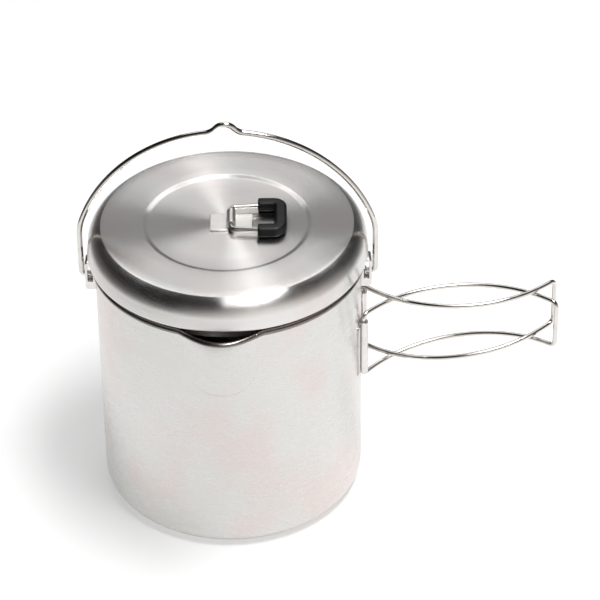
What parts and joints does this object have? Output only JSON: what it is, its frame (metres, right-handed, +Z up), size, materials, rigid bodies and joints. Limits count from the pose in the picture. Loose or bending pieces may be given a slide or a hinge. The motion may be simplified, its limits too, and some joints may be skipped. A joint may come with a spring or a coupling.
{
  "type": "cooking pot",
  "caption": "Tall round camping pot with a pouring lip, lift-off lid with a flip-up ring, hooked wire bail and folding wire side handles.",
  "frame": {"origin": "centre of the pot's flat base", "axes": "+Z up, +X towards the folding side handles, -Y towards the pouring lip"},
  "size_m": [0.2384, 0.1453, 0.2116],
  "materials": {
    "pot_sheet": "brushed round the pot",
    "lid_sheet": "brushed round the lid",
    "bracket_sheet": "satin",
    "wire": "polished",
    "rubber": "matte"
  },
  "bodies": {
    "pot": {"pot_body": "pot_sheet", "bail_ear_right": "bracket_sheet", "bail_ear_left": "bracket_sheet", "handle_bracket": "bracket_sheet"},
    "lid": {"lid": "lid_sheet", "lid_ring_strap": "bracket_sheet"},
    "lid_ring": {"lid_ring": "wire", "lid_ring_grip": "rubber"},
    "bail": {"bail": "wire"},
    "handle_front": {"handle_front": "wire"},
    "handle_rear": {"handle_rear": "wire"}
  },
  "joints": [
    {"name": "lid_lift", "type": "slide", "parent": "pot", "child": "lid", "axis": [0, 0, 1], "range_m": [0, 0.007]},
    {"name": "lid_ring_flip", "type": "hinge", "parent": "lid", "child": "lid_ring", "pos_m": [0.002, 0, 0.1557], "axis": [0, -1, 0], "range_deg": [0, 180]},
    {"name": "bail_swing", "type": "hinge", "parent": "pot", "child": "bail", "pos_m": [0, 0, 0.1234], "axis": [1, 0, 0], "range_deg": [-112, 112]},
    {"name": "handle_front_fold", "type": "hinge", "parent": "pot", "child": "handle_front", "pos_m": [0.06676, -0.0106, 0.084], "axis": [0, 0, 1], "range_deg": [-143, 0]},
    {"name": "handle_rear_fold", "type": "hinge", "parent": "pot", "child": "handle_rear", "pos_m": [0.06676, 0.0106, 0.088], "axis": [0, 0, 1], "range_deg": [0, 143]}
  ]
}
